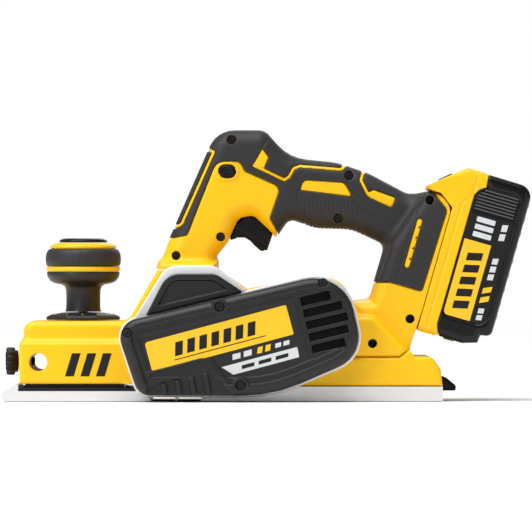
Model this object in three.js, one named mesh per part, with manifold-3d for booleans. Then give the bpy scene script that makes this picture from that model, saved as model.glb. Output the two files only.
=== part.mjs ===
// Cordless hand planer, built as an assembly of its separate pieces.
// Millimetres, +Z up. The tool points along -X, and its belt drive is on the -Y side.
// The origin lies on the rear sole's plane, in the middle of the cutter's width and half-way along the tool.

import * as THREE from "three";
import { mergeVertices } from "three/addons/utils/BufferGeometryUtils.js";
import Module from "manifold-3d";

const wasm = await Module();
wasm.setup();

// ---- Driving dimensions ----

const GAP = 0.3; // kept between pieces that touch
const SIDE = 46; // half the width of the soles and of the yellow body
const WALL = 3.4; // of the yellow shells
const GRIP_DEPTH = 1.6; // of the rubber moulded over them
const ARC_STEP = THREE.MathUtils.degToRad(31); // a round corner has a point at least this often
const BEVEL_STEPS = 1;

const DRUM = { x: -58.4, z: 23.6, radius: 20.4, cut: 23.3, half: 41, chamber: 26 };
const MOTOR = { x: 30.7, z: 52.8, radius: 21.3 };
const SHAFT = 4; // radius of both shafts
const DRUM_PULLEY = 14.2;
const MOTOR_PULLEY = 9.4;
const BELT = { inner: 0.5, outer: 2.4, from: -61.7, to: -54.1 };

const SOLE = { front: 6.6, rear: 9.6 }; // thickness of the two soles
const PLATE = { from: -50, to: -SIDE - GAP };
const COVER = { from: -70, to: PLATE.from - GAP, wall: 2.4, tilt: THREE.MathUtils.degToRad(-13.3) };
const KNOB_X = -121.8;
const FENCE_BORE = { x: -150.2, z: 25.7, radius: 5.9 };
const STAND = { x: 106, z: 14, half: 11 }; // the kickstand's pin
const OUTLET = { x: -44, z: 67.2, outer: 16, inner: 13.4, to: 60 };

// The battery slides on a rail that leans back. Its frame has x away from the tool and z up the rail.
const RAIL = { x: 103, z: 58.8, tilt: THREE.MathUtils.degToRad(16) };
const PACK = { half: 37 };
const LATCH = { x: -8.6, z: 90.2, tilt: THREE.MathUtils.degToRad(-41) };

// ---- Outlines in the side view, as corners [x, z, radius] ----

const HEAD_LOWER = [[-162.7, 11.3], [-86, 11.3], [-86, 39.6], [-162.7, 39.6, 2]];
const HEAD_UPPER = [[-160, 30], [-86, 30], [-86, 52.8], [-160, 52.8, 7]];
const CHUTE_BLOCK = [
  [-92.5, 11.3], [-80, 9.9], [-12.4, 9.9], [-12.4, 73.6], [-32.5, 87, 9], [-68.5, 87, 12], [-92.5, 50],
];
const REAR_BASE = [
  [-45, 9.9], [116.5, 9.9], [115.3, 21, 5], [109.5, 29.4, 7], [98.6, 29.4], [94.2, 33.6], [88, 28.9], [-45, 28.9],
];
const CHANNEL = [[-72, 51, 6], [-17, 51, 6], [-17, 69, 7], [-38, 83.5, 9], [-59, 83.5, 9]];
const COVER_OUTLINE = [[-99.4, 51.1, 13], [-83.7, 4.3, 10], [4, 3.8, 100], [64.5, 30, 22], [51.5, 86.6, 27]];
const PLATE_OUTLINE = [
  [-101.2, 51.4, 14], [-84.9, 2.7, 11], [4.4, 2.2, 100], [66.4, 29, 23], [52.9, 88.6, 28],
  [-13.2, 73.1, 2], [-33.5, 89.4, 12], [-65.6, 89.4, 14], [-86.8, 54.8, 2],
];
const CAP_OUTLINE = [[-79.2, 56.4], [-14.5, 71.7, 1], [-33.2, 83.9, 9], [-65, 83.9, 13]];
const HANDLE = [
  [-71.5, 87.3], [-33.2, 87.3], [-33.2, 95, 6], [-25, 105.2], [-18, 120.5, 6], [-8.5, 122.5, 6], [6.5, 108.2],
  [15.5, 121, 6], [33, 114.8, 20], [57, 114, 25], [80.3, 103.2, 7], [70, 66, 8], [58.4, 65, 8], [56, 40],
  [90, 40], [122.5, 127, 8], [115.4, 137, 8], [93.5, 136.8, 10], [68, 150.4, 50], [47, 157.5, 40],
  [15.3, 160.6, 30], [-1, 179, 9], [-32.5, 179, 18], [-64.5, 106, 60],
];
const COLUMN = [
  [88.2, 29.2], [94.6, 33.9], [103, 58.8], [122.57, 127.05, 9], [115.4, 137.2, 9], [97, 137.4, 9], [83, 104],
  [70.5, 65], [58, 65], [58, 29.2],
];
const MOTOR_BODY = [
  [-12, 29.2], [88.2, 29.2], [94, 33.9], [71, 56, 8], [59.5, 56, 4], [50, 83.6, 27], [-12, 74],
];
const RISER_FOOT = [[-71.5, 87.3], [-33.2, 87.3], [-32, 97], [-68.3, 97]];
const GRIP_AREA = [
  [-80, 104.5], [-52.3, 109.5, 2], [-33, 158.5, 8], [-17, 158.5, 6], [-14.2, 152, 3], [9.8, 141.3, 5],
  [2.6, 120.5, 3], [7.6, 112], [8, 98], [60, 78.2], [82.3, 78.2, 3], [103, 72.2, 2], [119.8, 126, 4],
  [112, 136.2], [107, 150], [-20, 200], [-90, 200],
];
const TRIGGER = [
  [-24.6, 105.9, 1], [-15, 109.2, 9], [-3.4, 99, 2], [0.8, 99.4, 1.5], [4.6, 110.6], [-3, 120.6, 2],
  [-12, 124.4, 2], [-20.6, 118.2, 2],
];
const FRONT_SHOE = [
  [-173.6, 0, 1.5], [-75.6, 0], [-79.3, 6.6], [-163.4, 6.6], [-163.4, 10.6], [-166.4, 10.6, 1.5], [-174.8, 4.6, 1.5],
];
const STAND_OUTLINE = [
  [102, 10.2, 3], [115.5, 6.2], [126, 6.2, 1], [126.6, 9.5, 4], [119.5, 15.2, 5], [110, 17.6, 3], [102, 17.6, 3],
];
// The two shells of the battery, in the rail's frame.
const UPPER_SHELL = [
  [0.4, -12.6, 2], [14.6, -12.6, 2], [12, -5], [12, 82], [17.5, 88], [17.5, 100, 3], [3, 100, 6], [-18.8, 82],
  [-18.8, 79.2], [-9.4, 79], [0.4, 71.7],
];
const LOWER_SHELL = [
  [15.2, -12.2], [31, -12.6], [41, -9.5], [41.5, -4.2], [48.6, -3, 9], [48.6, 99, 9], [17.9, 99.6],
  [17.9, 87.8], [12.4, 81.8], [12.4, -5],
];

// Where the screws stand, as [x, z].
const HOUSING_SCREWS = [
  [-22.8, 173], [-30.1, 108.5], [-59.7, 96], [55.2, 149.1], [48, 120.8], [108.4, 132.6], [95.2, 54.1], [70.2, 38],
];
const COVER_SCREWS = [[-30.4, 62.4], [-16.6, 10.9], [37.5, 78.3], [-91, 45.3]];

// ---- Materials ----

const finish = (color, roughness, metalness = 0) =>
  new THREE.MeshStandardMaterial({ color, roughness, metalness });
const yellow = finish(0xf7bf0c, 0.42);
const rubber = finish(0x4a494b, 0.75);
const black = finish(0x232325, 0.5);
const aluminium = finish(0xdcdddd, 0.38, 0.85);
const steel = finish(0x9a9ca0, 0.3, 1);
const copper = finish(0xb87333, 0.4, 1);

// ---- Shapes ----

const vector = ([x, z]) => new THREE.Vector2(x, z);

// Moves every edge of an outline inwards by a distance, or outwards if it is negative.
function inset(corners, by) {
  const around = corners.length;
  const turns = Math.sign(THREE.ShapeUtils.area(corners.map(vector)));
  return corners.map((corner, i) => {
    const into = vector(corner).sub(vector(corners.at(i - 1))).normalize();
    const out = vector(corners[(i + 1) % around]).sub(vector(corner)).normalize();
    const normals = new THREE.Vector2(-into.y - out.y, into.x + out.x).multiplyScalar(turns);
    const shift = normals.multiplyScalar(by / (1 + into.dot(out)));
    const radius = corner[2] ? corner[2] - by * turns * Math.sign(into.cross(out)) : 0;
    return [corner[0] + shift.x, corner[1] + shift.y, Math.max(0, radius)];
  });
}

// The points of an outline with its corners rounded by arcs.
function rounded(corners) {
  return corners.flatMap(([x, z, wanted], i) => {
    const corner = new THREE.Vector2(x, z);
    if (!wanted) return [corner];
    const back = vector(corners.at(i - 1)).sub(corner);
    const on = vector(corners[(i + 1) % corners.length]).sub(corner);
    const room = 0.49 * Math.min(back.length(), on.length());
    const half = Math.acos(back.normalize().dot(on.normalize())) / 2;
    const radius = Math.min(wanted, room * Math.tan(half));
    const centre = back.clone().add(on).normalize().multiplyScalar(radius / Math.sin(half)).add(corner);
    const first = corner.clone().addScaledVector(back, radius / Math.tan(half)).sub(centre);
    const sweep = (Math.PI - 2 * half) * Math.sign(on.cross(back));
    const steps = Math.max(1, Math.ceil(Math.abs(sweep) / ARC_STEP));
    return Array.from({ length: steps + 1 }, (_, step) =>
      first.clone().rotateAround(new THREE.Vector2(), (sweep * step) / steps).add(centre));
  });
}

// A closed geometry as a manifold-3d solid.
function solid(geometry) {
  const bare = geometry.clone();
  bare.deleteAttribute("normal");
  bare.deleteAttribute("uv");
  const merged = mergeVertices(bare, 1e-4);
  const corners = merged.index.array;
  const triVerts = [];
  for (let i = 0; i < corners.length; i += 3) {
    const [a, b, c] = corners.slice(i, i + 3);
    if (a !== b && b !== c && c !== a) triVerts.push(a, b, c);
  }
  return new wasm.Manifold(new wasm.Mesh({
    numProp: 3,
    vertProperties: merged.attributes.position.array,
    triVerts: Uint32Array.from(triVerts),
  }));
}

// What lies between y0 and y1 inside an outline, with its two side edges bevelled.
function slab(corners, y0, y1, bevel = 0) {
  const geometry = new THREE.ExtrudeGeometry(new THREE.Shape(rounded(corners)), {
    depth: y1 - y0 - 2 * bevel,
    bevelEnabled: bevel > 0,
    bevelThickness: bevel,
    bevelSize: bevel,
    bevelOffset: -bevel,
    bevelSegments: BEVEL_STEPS,
  });
  return solid(geometry.translate(0, 0, bevel - y1).rotateX(Math.PI / 2));
}

const blockGeometry = (x0, x1, y0, y1, z0, z1) =>
  new THREE.BoxGeometry(x1 - x0, y1 - y0, z1 - z0).translate((x0 + x1) / 2, (y0 + y1) / 2, (z0 + z1) / 2);
const block = (...limits) => solid(blockGeometry(...limits));
const onRail = (geometry) => geometry.rotateY(RAIL.tilt).translate(RAIL.x, 0, RAIL.z);

// A round bar along Y, X or Z.
const bar = (radius, y0, y1, x = 0, z = 0, sides = 20) =>
  solid(new THREE.CylinderGeometry(radius, radius, y1 - y0, sides).translate(x, (y0 + y1) / 2, z));
const barAlongX = (radius, x0, x1, z, sides = 16) =>
  solid(new THREE.CylinderGeometry(radius, radius, x1 - x0, sides).rotateZ(Math.PI / 2)
    .translate((x0 + x1) / 2, 0, z));
const barAlongZ = (radius, z0, z1, x = 0, sides = 16) =>
  solid(new THREE.CylinderGeometry(radius, radius, z1 - z0, sides).rotateX(Math.PI / 2)
    .translate(x, 0, (z0 + z1) / 2));

// A body turned about Y, or about Z, from [radius, height] points.
const lathe = (profile, sides) =>
  new THREE.LatheGeometry(profile.map(([radius, height]) => new THREE.Vector2(radius, height)), sides);
const turned = (profile, sides = 16) => solid(lathe(profile, sides));
const turnedUp = (profile, sides = 20) => solid(lathe(profile, sides).rotateX(Math.PI / 2));
const ring = (outer, inner, y0, y1, sides = 20) =>
  turned([[inner, y0], [outer, y0], [outer, y1], [inner, y1], [inner, y0]], sides);

const join = (...solids) => solids.reduce((all, one) => all.add(one));
const cut = (from, ...solids) => solids.reduce((left, one) => left.subtract(one), from);

function piece(name, made, material) {
  const { vertProperties, triVerts } = made.getMesh();
  const geometry = new THREE.BufferGeometry();
  geometry.setAttribute("position", new THREE.BufferAttribute(vertProperties, 3));
  geometry.setIndex(new THREE.BufferAttribute(triVerts, 1));
  geometry.computeVertexNormals();
  const mesh = new THREE.Mesh(geometry, material);
  mesh.name = name;
  return mesh;
}

function groupAt(x, z, ...pieces) {
  const group = new THREE.Group();
  group.position.set(x, 0, z);
  group.add(...pieces);
  return group;
}

// ---- Soles and base ----

function rearShoe() {
  const plate = slab([[-43.5, 0], [116.5, 0], [116.5, SOLE.rear], [-37, SOLE.rear]], -SIDE, SIDE);
  const pockets = [[-28, 30], [36, 95]].flatMap(([x0, x1]) =>
    [[-41, -3], [3, 41]].map(([y0, y1]) => block(x0, x1, y0, y1, 3.2, 12)));
  const standSlot = block(98.5, 120, -STAND.half - 0.6, STAND.half + 0.6, -1, 12);
  return piece("rear_shoe", cut(plate, ...pockets, standSlot), aluminium);
}

function frontShoe() {
  const plate = slab(FRONT_SHOE, -SIDE, SIDE);
  const grooves = [[-24, 3.4], [0, 4.8], [24, 3.4]].map(([y, size]) =>
    solid(new THREE.BoxGeometry(240, size, size).rotateX(Math.PI / 4).translate(-110, y, 0)));
  return piece("front_shoe", cut(plate, ...grooves), aluminium);
}

function shoeCarriage() {
  const foot = block(-159, -93.4, -40.6, 40.6, SOLE.front + GAP, 13.6);
  const nut = block(KNOB_X - 15, KNOB_X + 15, -16, 16, 13, 30);
  const skirt = slab(
    [[-163, SOLE.front + GAP], [-80.6, SOLE.front + GAP], [-80.6, 7.6], [-93, 9], [-163, 9]], -SIDE + 1, SIDE - 1);
  return piece("shoe_carriage", cut(join(foot, skirt, nut), barAlongZ(3.4, 9, 40, KNOB_X)), black);
}

function baseFrame() {
  const outer = join(
    slab(HEAD_LOWER, -SIDE, SIDE),
    slab(HEAD_UPPER, -41, 41, 2),
    slab(CHUTE_BLOCK, -SIDE, SIDE),
    slab(REAR_BASE, -SIDE, SIDE),
    barAlongX(6.6, -164.7, -160, FENCE_BORE.z),
  );
  const head = join(
    block(-159.5, -93, -41.5, 41.5, 5, 36),
    block(-152, -97, -36, 36, 35, 49.5),
  );
  const boss = join(
    bar(9, -42, 42, FENCE_BORE.x, FENCE_BORE.z),
    block(-160, FENCE_BORE.x, -8, 8, 18, 33),
  );
  const hollowed = cut(
    outer,
    head,
    bar(DRUM.chamber, -41.6, 41.6, DRUM.x, DRUM.z, 24),
    slab(CHANNEL, -60, 60),
    block(-76, -50, -34, 34, 40, 56),
    block(-8, 38, -41, 41, 13.5, 40),
    block(43, 86, -41, 41, 13.5, 40),
    block(-28, -7, -41, 41, 13.5, 26),
  );
  return piece("base_frame", cut(
    join(hollowed, boss),
    bar(FENCE_BORE.radius, -60, 60, FENCE_BORE.x, FENCE_BORE.z, 16),
    barAlongX(2.9, -170, FENCE_BORE.x, FENCE_BORE.z),
    barAlongZ(5.2, 45, 60, KNOB_X),
    bar(11.2, -60, -40, DRUM.x, DRUM.z),
    bar(9.7, 40, 60, DRUM.x, DRUM.z),
    block(98, 120, -STAND.half - 0.6, STAND.half + 0.6, 5, 24),
    bar(1.9, -17, 17, STAND.x, STAND.z, 12),
  ), yellow);
}

function kickstand() {
  const lever = slab(STAND_OUTLINE, -STAND.half, STAND.half);
  const relief = block(96, 114, -6, 6, 5, 12.5);
  return piece("kickstand", cut(lever, relief, bar(1.9, -20, 20, STAND.x, STAND.z, 12)), black);
}

// ---- Chip chute ----

function chipDuct() {
  const liner = slab(inset(CHANNEL, 0.4), -45.2, SIDE + GAP);
  const flange = slab(inset(CHANNEL, -2), SIDE + GAP, SIDE + 2.3);
  const collar = bar(OUTLET.outer, SIDE + 1, OUTLET.to, OUTLET.x, OUTLET.z, 32);
  return piece("chip_duct", cut(
    join(liner, flange, collar),
    slab(inset(CHANNEL, 2.4), -50, SIDE - 1),
    bar(OUTLET.inner, 40, 70, OUTLET.x, OUTLET.z, 32),
    block(-68, -50, -33, 33, 45, 58),
  ), black);
}

// What the cap's plug and the hole for it have in common, before their clearance.
const plugArea = (clearance, y0, y1) =>
  slab(inset(CHANNEL, 0.4 + clearance), y0, y1).intersect(slab(inset(CAP_OUTLINE, 1 + clearance), y0, y1));

function chuteCap() {
  const face = slab(CAP_OUTLINE, -54.6, PLATE.from - GAP);
  const panel = slab(inset(CAP_OUTLINE, 4.5), -56, -53.4);
  return piece("chute_cap", join(cut(face, panel), plugArea(GAP, -51, -45.6)), black);
}

// ---- Belt drive ----

function sidePlate() {
  return piece("side_plate", cut(
    slab(PLATE_OUTLINE, PLATE.from, PLATE.to),
    plugArea(0, -60, -40),
    bar(11.2, -60, -40, DRUM.x, DRUM.z),
    bar(11.2, -60, -40, MOTOR.x, MOTOR.z),
    ...[-24, 24].map((offset) => bar(5, -60, -40, MOTOR.x + 0.23 * offset, MOTOR.z - offset + 2, 12)),
    ...COVER_SCREWS.map(([x, z]) => bar(1.8, -60, -40, x, z, 6)),
  ), aluminium);
}

function beltCover() {
  const shell = cut(
    slab(COVER_OUTLINE, COVER.from, -30, 4),
    block(-120, 90, COVER.to, 0, -10, 120),
    slab(inset(COVER_OUTLINE, COVER.wall), COVER.from + COVER.wall, -20, 2),
  );
  const vents = [-20, -12, -4, 4, 12, 20].map((offset) =>
    solid(new THREE.BoxGeometry(Math.abs(offset) > 15 ? 18 : 24, 8, 4.6).translate(1, -68, offset)
      .rotateY(COVER.tilt).translate(39, 0, 50.5)));
  const bosses = COVER_SCREWS.map(([x, z]) => bar(4, -67, COVER.to, x, z, 8));
  const holes = COVER_SCREWS.flatMap(([x, z]) =>
    [bar(3.1, -75, -62, x, z, 8), bar(1.9, -63, -40, x, z, 6)]);
  return piece("belt_cover", cut(join(shell, ...bosses), ...vents, ...holes), black);
}

// The loop of a belt that lies outside both pulleys by a distance.
function beltLoop(over) {
  const [large, small] = [DRUM_PULLEY + over, MOTOR_PULLEY + over];
  const way = new THREE.Vector2(MOTOR.x - DRUM.x, MOTOR.z - DRUM.z);
  const lean = Math.acos((large - small) / way.length());
  const arc = (centre, radius, from, to) => Array.from({ length: 11 }, (_, step) => {
    const angle = way.angle() + from + ((to - from) * step) / 10;
    return [centre.x + radius * Math.cos(angle), centre.z + radius * Math.sin(angle)];
  });
  return [...arc(DRUM, large, lean, 2 * Math.PI - lean), ...arc(MOTOR, small, -lean, lean)];
}

const driveBelt = () => piece("drive_belt", cut(
  slab(beltLoop(BELT.outer), BELT.from, BELT.to),
  slab(beltLoop(BELT.inner), BELT.from - 1, BELT.to + 1),
), rubber);

// A pulley whose rim has grooves for a ribbed belt.
function pulley(name, radius, bore) {
  const [from, to, pitch] = [-63.4, -52.6, 1.6];
  const rim = [-59.8, -56].flatMap((y) =>
    [[radius, y - pitch / 4], [radius - 1.2, y + pitch / 4]]);
  return piece(name, turned([
    [bore, from], [radius + 1, from], [radius + 1, from + 0.8], [radius, from + 1], ...rim, [radius, to - 1],
    [radius + 1, to - 0.8], [radius + 1, to],
    [bore, to], [bore, from],
  ]), steel);
}

function cutterDrum() {
  const shaft = bar(SHAFT, -65.6, 45.8);
  const body = bar(DRUM.radius, -DRUM.half, DRUM.half, 0, 0, 32);
  const gullets = [1, -1].map((way) =>
    block(Math.min(0, way * 12), Math.max(0, way * 12), -50, 50, Math.min(way * 12, way * 26),
      Math.max(way * 12, way * 26)));
  return piece("cutter_drum", join(cut(body, ...gullets), shaft), steel);
}

// A cutter stands in each gullet, held by a clamping bar. The second one is the first turned half round.
function cutter(number) {
  const blade = piece(`blade_${number}`, block(0.3, 1.5, -DRUM.half, DRUM.half, 14, DRUM.cut), steel);
  const clamp = piece(`blade_clamp_${number}`, slab(
    [[1.9, 12.3], [11.7, 12.3], [11.7, 16], [6, 19.4], [1.9, 20.6]], -DRUM.half + 1, DRUM.half - 1), steel);
  const group = new THREE.Group();
  group.add(blade, clamp);
  group.rotation.y = Math.PI * (number - 1);
  return group;
}

function drumGroup() {
  return groupAt(DRUM.x, DRUM.z, cutterDrum(), cutter(1), cutter(2),
    pulley("drum_pulley", DRUM_PULLEY, SHAFT + GAP));
}

// The inner bore of a bearing leaves the shaft room to turn.
const bearing = (name, radius, y0, y1) => piece(name, ring(radius, SHAFT + 0.1, y0, y1, 20), steel);

const drumBearings = () => groupAt(DRUM.x, DRUM.z,
  bearing("drum_bearing_left", 10.9, -49.6, -42.2), bearing("drum_bearing_right", 9.4, 41.9, 45.8));

// ---- Motor ----

function coolingFan() {
  const hub = ring(8, SHAFT + GAP, 24, 32);
  const disc = ring(20.5, 7, 30.4, 32);
  const blades = Array.from({ length: 7 }, (_, i) =>
    solid(blockGeometry(7.5, 19.5, 24.5, 31, -0.8, 0.8).rotateY((i * 2 * Math.PI) / 7)));
  return piece("cooling_fan", join(hub, disc, ...blades), black);
}

function motorGroup() {
  const rotor = join(bar(SHAFT, -64.6, 40.6), bar(12.4, -24, 18));
  return groupAt(MOTOR.x, MOTOR.z,
    piece("rotor", rotor, steel),
    coolingFan(),
    pulley("motor_pulley", MOTOR_PULLEY, SHAFT + GAP));
}

const motorFixedGroup = () => groupAt(MOTOR.x, MOTOR.z,
  piece("motor_stator", ring(MOTOR.radius, 13.2, -27, 21), copper),
  bearing("motor_bearing_left", 10.9, -49.6, -44),
  bearing("motor_bearing_right", 9.4, 35.4, 40.8));

// ---- Housing ----

const housingOuter = (by) => join(
  slab(inset(HANDLE, by), -18.5 + by, 18.5 - by, 5 - by / 2),
  slab(inset(COLUMN, by), -36 + by, 36 - by, 5 - by / 2),
);

const triggerSlot = () => join(...[0, 2.5, 5, 7.6].map((travel) =>
  slab(inset(TRIGGER, -0.6).map(([x, z, radius]) => [x + 0.25 * travel, z + 0.97 * travel, radius]), -9.7, 9.7)));

function housingShell() {
  const outer = join(housingOuter(0), slab(MOTOR_BODY, -SIDE, SIDE, 3), slab(RISER_FOOT, -28, 28, 3));
  const footBlock = solid(onRail(blockGeometry(-13, 10, -50, 50, -40, 100)));
  const cavity = cut(join(
    slab(inset(HANDLE, WALL), -18.5 + WALL, 18.5 - WALL, 3),
    slab(inset(COLUMN, WALL), -36 + WALL, 36 - WALL, 3),
    slab(inset(MOTOR_BODY, WALL - 1.6), -SIDE + WALL, SIDE - WALL, 2),
  ), footBlock);
  const bosses = HOUSING_SCREWS.map(([x, z]) => bar(4.3, -SIDE, SIDE, x, z, 8));
  const stator = bar(MOTOR.radius + 0.6, -40, 40, MOTOR.x, MOTOR.z, 20);
  const ribs = [[-17, -14], [10, 13]].map(([y0, y1]) => cut(slab(inset(MOTOR_BODY, 1), y0, y1), stator));
  const seat = cut(bar(12.6, 35.4, SIDE - 1, MOTOR.x, MOTOR.z), bar(9.7, 30, 41.2, MOTOR.x, MOTOR.z));
  const inside = join(housingOuter(1), slab(inset(MOTOR_BODY, 1), -SIDE + 1, SIDE - 1, 2));
  const fittings = join(...ribs, seat, ...bosses).intersect(inside);
  const recess = cut(slab(GRIP_AREA, -50, 50), housingOuter(GRIP_DEPTH + GAP));
  const screwHoles = HOUSING_SCREWS.flatMap(([x, z]) =>
    [bar(2.9, -60, -8, x, z, 8), bar(1.7, -9, 13, x, z, 6)]);
  const vents = [-12, -6, 0, 6, 12].map((offset) =>
    block(MOTOR.x - 13, MOTOR.x + 13, 40, 50, MOTOR.z + 1.3 * offset - 2, MOTOR.z + 1.3 * offset + 2));
  return cut(
    join(cut(outer, cavity), fittings),
    recess,
    triggerSlot(),
    slab([[-31.5, 147.6, 4.3], [-20, 147.6, 4.3], [-20, 156.6, 4.3], [-31.5, 156.6, 4.3]], -30, 30),
    bar(14, -60, -40, MOTOR.x, MOTOR.z),
    ...screwHoles,
    ...vents.map((vent) => cut(vent, bar(13.2, 30, 60, MOTOR.x, MOTOR.z))),
    solid(onRail(blockGeometry(-7, 10, -24, 24, 6, 100))),
    solid(onRail(blockGeometry(-5.2, -2.3, -27, 27, 6, 100))),
    solid(onRail(blockGeometry(-14, -5, -14.5, 14.5, 10, 40))),
  );
}

const leftHalf = () => block(-200, 200, -100, -0.15, -10, 220);
const rightHalf = () => block(-200, 200, 0.15, 100, -10, 220);

function housingGroup() {
  const shell = housingShell();
  const skin = cut(
    slab(inset(GRIP_AREA, GAP), -50, 50).intersect(housingOuter(0)),
    housingOuter(GRIP_DEPTH),
    ...HOUSING_SCREWS.map(([x, z]) => bar(2.9, -60, 0, x, z, 8)),
    solid(onRail(blockGeometry(-7, 10, -27, 27, 6, 100))),
  );
  return groupAt(0, 0,
    piece("housing_left", shell.intersect(leftHalf()), yellow),
    piece("housing_right", shell.intersect(rightHalf()), yellow),
    piece("grip_left", skin.intersect(leftHalf()), rubber),
    piece("grip_right", skin.intersect(rightHalf()), rubber));
}

const screw = (name, [x, z], headFrom, headTo, tip, head, shank) =>
  groupAt(x, z, piece(name, turned([
    [0, headFrom + 1], [1.1, headFrom], [head, headFrom], [head, headTo], [shank, headTo], [shank, tip - 1],
    [0, tip],
  ], 6), steel));

const screws = () => [
  ...HOUSING_SCREWS.map((place, i) => screw(`housing_screw_${i + 1}`, place, -11.4, -8.4, 12, 2.6, 1.3)),
  ...COVER_SCREWS.map((place, i) => screw(`cover_screw_${i + 1}`, place, -65.4, -62.4, -46.6, 2.8, 1.5)),
];

// ---- Controls and electrics ----

const trigger = () => piece("trigger", slab(TRIGGER, -9, 9, 0.9), black);

const lockOffButton = () => piece("lock_off_button", slab(
  [[-30.9, 148.2, 3], [-20.6, 148.2, 3], [-20.6, 156, 3], [-30.9, 156, 3]], -20.5, 20.5, 1), black);

const switchModule = () => piece("switch_module", join(
  block(-27, 2, -9.5, 9.5, 133.4, 146.6),
  block(-14, -9, -3, 3, 131.4, 134),
), black);

// A run of insulated wires inside the shells, along a smooth line through points [x, y, z].
function wires(name, radius, points) {
  const line = new THREE.CatmullRomCurve3(points.map((point) => new THREE.Vector3(...point)));
  const section = new THREE.Shape().absarc(0, 0, radius, 0, 2 * Math.PI);
  return piece(name, solid(new THREE.ExtrudeGeometry(section, {
    curveSegments: 4, steps: 14, bevelEnabled: false, extrudePath: line,
  })), rubber);
}

function electrics() {
  const rail = new THREE.Group();
  rail.position.set(RAIL.x, 0, RAIL.z);
  rail.rotation.y = RAIL.tilt;
  const blades = [-9, -3, 3, 9].map((y) => block(-8, -1.2, y - 0.5, y + 0.5, 14, 28));
  rail.add(
    piece("terminal_block", join(block(-12.6, -7.4, -14, 14, 10.5, 39.5), ...blades), black),
    piece("controller", block(-20, -14.6, -24, 24, 4, 62), steel));
  return [
    rail,
    switchModule(),
    wires("switch_wires", 2.2, [[96, 0, 118], [84, 0, 124], [62, 0, 134], [30, 0, 137.5], [3.2, 0, 138.6]]),
  ];
}

// ---- Front handle, which turns to set the depth of cut ----

function depthKnob() {
  const knob = groupAt(KNOB_X, 0,
    piece("depth_dial", turnedUp([[4, 53.2], [25, 53.2], [25, 55.4], [12.5, 58.4], [4, 58.4], [4, 53.2]]), black),
    piece("depth_spindle", join(barAlongZ(3, 12, 61), barAlongZ(4.6, 50.4, 52.9)), steel),
    piece("knob_stem", turnedUp([
      [3.4, 58.7], [11.6, 58.7], [10.9, 66], [11.2, 73], [14, 76.8], [19, 77.4], [23.2, 80.6], [24.4, 85.2],
      [3.4, 85.2], [3.4, 58.7],
    ]), black),
    piece("knob_core", turnedUp([
      [0, 85.5], [24.2, 85.5], [24.5, 87], [24.2, 88.7], [20, 88.7], [20, 98], [22, 100.6], [21, 102.6],
      [16.4, 104.4], [0, 104.4],
    ]), yellow),
    piece("knob_grip", turnedUp([
      [20.3, 89], [24.4, 89], [24.8, 94], [24.2, 98.4], [22.4, 100.3], [20.3, 97.9], [20.3, 89],
    ]), rubber),
    piece("knob_cap", turnedUp([[0, 104.7], [15.8, 104.7], [14.6, 106.6], [10, 107.4], [0, 107.4]]), black));
  return knob;
}

// A coil spring along Z, with its last turns cut flat.
function shoeSpring() {
  const [radius, wire, low, high, coils] = [6.4, 0.8, 31.4, 48.2, 4.5];
  class Helix extends THREE.Curve {
    getPoint(share, target = new THREE.Vector3()) {
      const angle = share * coils * 2 * Math.PI;
      return target.set(radius * Math.cos(angle), radius * Math.sin(angle), low + (high - low) * share);
    }
  }
  const section = new THREE.Shape().absarc(0, 0, wire, 0, 2 * Math.PI);
  const coil = solid(new THREE.ExtrudeGeometry(section, {
    curveSegments: 2, steps: 36, bevelEnabled: false, extrudePath: new Helix(),
  }));
  return groupAt(KNOB_X, 0, piece("shoe_spring", coil, steel));
}

function fenceScrew() {
  const lobes = Array.from({ length: 10 }, (_, i) =>
    solid(new THREE.CylinderGeometry(1.5, 1.5, 7, 8).rotateZ(Math.PI / 2)
      .translate(-170.1, 9.6, 0).rotateX((i * Math.PI) / 5).translate(0, 0, FENCE_BORE.z)));
  return piece("fence_clamp_screw", join(
    cut(barAlongX(9.3, -173.6, -167.2, FENCE_BORE.z, 30), ...lobes),
    barAlongX(7.2, -168, -165.1, FENCE_BORE.z),
    barAlongX(2.5, -166, -153.8, FENCE_BORE.z),
  ), black);
}

// ---- Battery pack, in the rail's frame ----

function upperShell() {
  const { half } = PACK;
  const outer = slab(UPPER_SHELL, -half, half, 1);
  const tongue = join(
    block(-6.4, 2, -23.4, 23.4, 7, 69),
    block(-4.8, -2.7, -26.4, 26.4, 7, 69),
  );
  const slots = [-9, -3, 3, 9].map((y) => block(-9, -0.6, y - 1.2, y + 1.2, 0, 34));
  const cavity = join(
    block(3.2, 30, -half + 3, half - 3, -9, 82),
    block(6, 30, -half + 3, half - 3, 80, 89.5),
    block(4, 15, -half + 4, half - 4, 80, 96.6),
  );
  const latchPocket = solid(blockGeometry(-5.6, 5.6, -12.6, 12.6, -9, 6).rotateY(LATCH.tilt)
    .translate(LATCH.x, 0, LATCH.z));
  return piece("pack_upper_shell", cut(join(outer, tongue), cavity, ...slots, latchPocket), yellow);
}

const packLatch = () => piece("pack_latch",
  solid(blockGeometry(-5, 5, -12, 12, -5, 1).rotateY(LATCH.tilt).translate(LATCH.x, 0, LATCH.z)), black);

function lowerShell() {
  const half = PACK.half + 0.4;
  const outer = slab(LOWER_SHELL, -half, half, 1);
  const cavity = block(0, 45.6, -half + 3, half - 3, -7, 94);
  const ribs = Array.from({ length: 6 }, (_, i) => [1, -1].map((side) =>
    block(16, 45, Math.min(side * 36.6, side * 40), Math.max(side * 36.6, side * 40), 74 + 3 * i, 75.4 + 3 * i)))
    .flat();
  const gauge = block(19, 27, -6.4, 6.4, -20, 0);
  return piece("pack_lower_shell", cut(outer, cavity, ...ribs, gauge), black);
}

const gaugeButton = () => piece("gauge_button", block(19.6, 26.4, -5.8, 5.8, -13.2, -7.6), rubber);

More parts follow.
